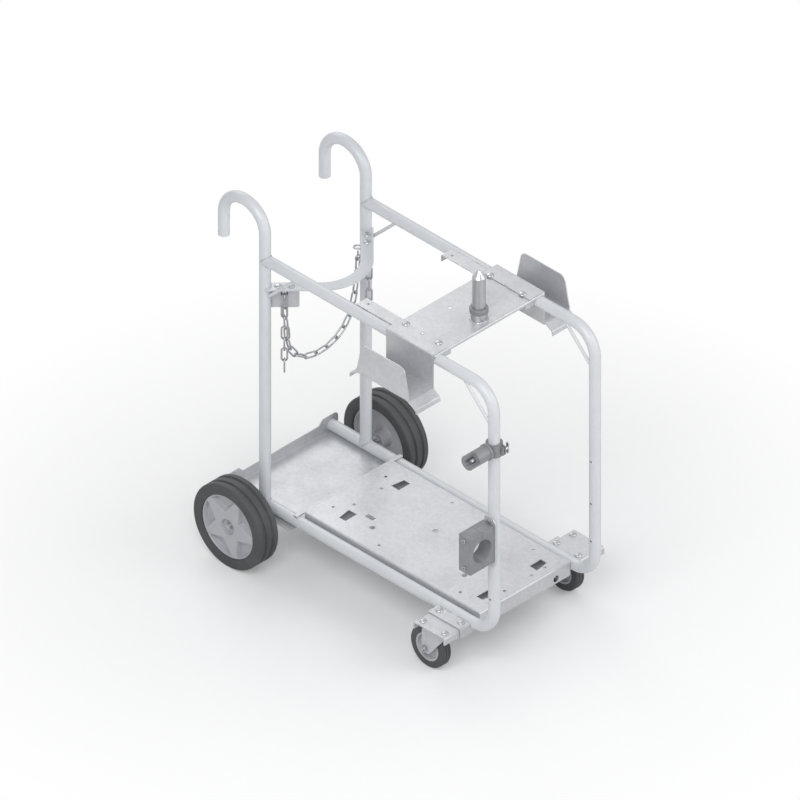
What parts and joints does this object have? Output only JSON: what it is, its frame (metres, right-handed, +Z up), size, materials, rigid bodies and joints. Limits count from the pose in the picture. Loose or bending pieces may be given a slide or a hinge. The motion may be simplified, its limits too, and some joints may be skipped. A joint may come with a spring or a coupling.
{
  "type": "wire feeder trolley",
  "caption": "Bent-tube trolley with large rear wheels and swivel castors, a bottle tray with cradle and chain, a machine deck and a pivot pin for a wire feeder.",
  "frame": {"origin": "floor level, centred under the bounding box", "axes": "+X towards the castors (front), +Y to the left side, +Z up"},
  "size_m": [1.0448, 0.623, 1.104],
  "materials": {
    "painted_tube": "satin",
    "zinc_steel": "satin",
    "chain_steel": "polished",
    "rubber": "matte",
    "plastic": "satin"
  },
  "bodies": {
    "frame": {"side_tube_right": "painted_tube", "side_tube_left": "painted_tube", "rear_upright_right": "painted_tube", "rear_upright_left": "painted_tube", "corner_braces": "painted_tube", "deck": "zinc_steel", "deck_stop_bar": "zinc_steel", "deck_bearers": "zinc_steel", "bottle_tray": "zinc_steel", "axle": "zinc_steel", "axle_washers": "zinc_steel", "axle_clips": "zinc_steel", "castor_bracket_right": "zinc_steel", "castor_bracket_left": "zinc_steel", "castor_strips": "zinc_steel", "castor_plate_right": "zinc_steel", "castor_plate_left": "zinc_steel", "kingpins": "zinc_steel", "castor_bolts": "zinc_steel", "flange_nuts": "zinc_steel", "rail_strips": "zinc_steel", "bridge_plate": "zinc_steel", "pivot_boss": "zinc_steel", "feeder_pin": "zinc_steel", "cable_holder_right": "zinc_steel", "cable_holder_left": "zinc_steel", "holder_bolts": "zinc_steel", "holder_screws": "zinc_steel", "bottle_cradle": "painted_tube", "cradle_brackets": "zinc_steel", "cradle_bolts": "zinc_steel", "chain_eye": "chain_steel", "anchor_links": "chain_steel", "clamp_back_plate": "zinc_steel", "clamp_inner_half": "plastic", "clamp_outer_half": "plastic", "clamp_screws": "zinc_steel", "clamp_fixings": "zinc_steel", "rest_ring": "plastic"},
    "rear_wheel_right": {"rear_tyre_right": "rubber", "rear_rim_right": "plastic"},
    "rear_wheel_left": {"rear_tyre_left": "rubber", "rear_rim_left": "plastic"},
    "castor_right": {"castor_fork_right": "zinc_steel", "castor_axle_right": "zinc_steel"},
    "castor_left": {"castor_fork_left": "zinc_steel", "castor_axle_left": "zinc_steel"},
    "castor_wheel_right": {"castor_tyre_right": "rubber", "castor_hub_right": "plastic"},
    "castor_wheel_left": {"castor_tyre_left": "rubber", "castor_hub_left": "plastic"},
    "pivot_collar": {"pivot_collar": "plastic"},
    "torch_arm": {"rest_arm": "plastic", "rest_bolt": "zinc_steel"},
    "wing_screw": {"rest_wing_screw": "zinc_steel"},
    "chain_run": {"chain_run": "chain_steel"},
    "chain_tail": {"chain_tail": "chain_steel"},
    "chain_spare": {"chain_spare": "chain_steel"}
  },
  "joints": [
    {"name": "rear_wheel_right_spin", "type": "hinge", "parent": "frame", "child": "rear_wheel_right", "pos_m": [-0.3709, -0.2775, 0.125], "axis": [0, 1, 0], "continuous": true},
    {"name": "castor_right_swivel", "type": "hinge", "parent": "frame", "child": "castor_right", "pos_m": [0.3601, -0.2463, 0.138], "axis": [0, 0, 1], "continuous": true},
    {"name": "castor_right_spin", "type": "hinge", "parent": "castor_right", "child": "castor_wheel_right", "pos_m": [0.3186, -0.2463, 0.0625], "axis": [0, 1, 0], "continuous": true},
    {"name": "rear_wheel_left_spin", "type": "hinge", "parent": "frame", "child": "rear_wheel_left", "pos_m": [-0.3709, 0.2775, 0.125], "axis": [0, 1, 0], "continuous": true},
    {"name": "castor_left_swivel", "type": "hinge", "parent": "frame", "child": "castor_left", "pos_m": [0.3601, 0.2463, 0.138], "axis": [0, 0, 1], "continuous": true},
    {"name": "castor_left_spin", "type": "hinge", "parent": "castor_left", "child": "castor_wheel_left", "pos_m": [0.3186, 0.2463, 0.0625], "axis": [0, 1, 0], "continuous": true},
    {"name": "pivot_collar_turn", "type": "hinge", "parent": "frame", "child": "pivot_collar", "pos_m": [0.2496, 0, 0.979], "axis": [0, 0, 1], "continuous": true},
    {"name": "torch_arm_turn", "type": "hinge", "parent": "frame", "child": "torch_arm", "pos_m": [0.4924, -0.2263, 0.7495], "axis": [0, 1, 0], "range_deg": [-90, 90]},
    {"name": "wing_screw_turn", "type": "hinge", "parent": "frame", "child": "wing_screw", "pos_m": [0.5164, -0.1763, 0.7495], "axis": [0, 1, 0], "range_deg": [-180, 180]},
    {"name": "chain_run_swing", "type": "hinge", "parent": "frame", "child": "chain_run", "pos_m": [-0.34128, -0.128, 0.82075], "axis": [0.1842, 0.9826, -0.0242], "range_deg": [-8, 8]},
    {"name": "chain_tail_swing", "type": "hinge", "parent": "frame", "child": "chain_tail", "pos_m": [-0.313, -0.15628, 0.82075], "axis": [-0.7071, 0.7071, 0], "range_deg": [-6, 4]},
    {"name": "chain_spare_swing", "type": "hinge", "parent": "frame", "child": "chain_spare", "pos_m": [-0.313, 0.15628, 0.82075], "axis": [0.7071, 0.7071, 0], "range_deg": [-6, 4]}
  ]
}
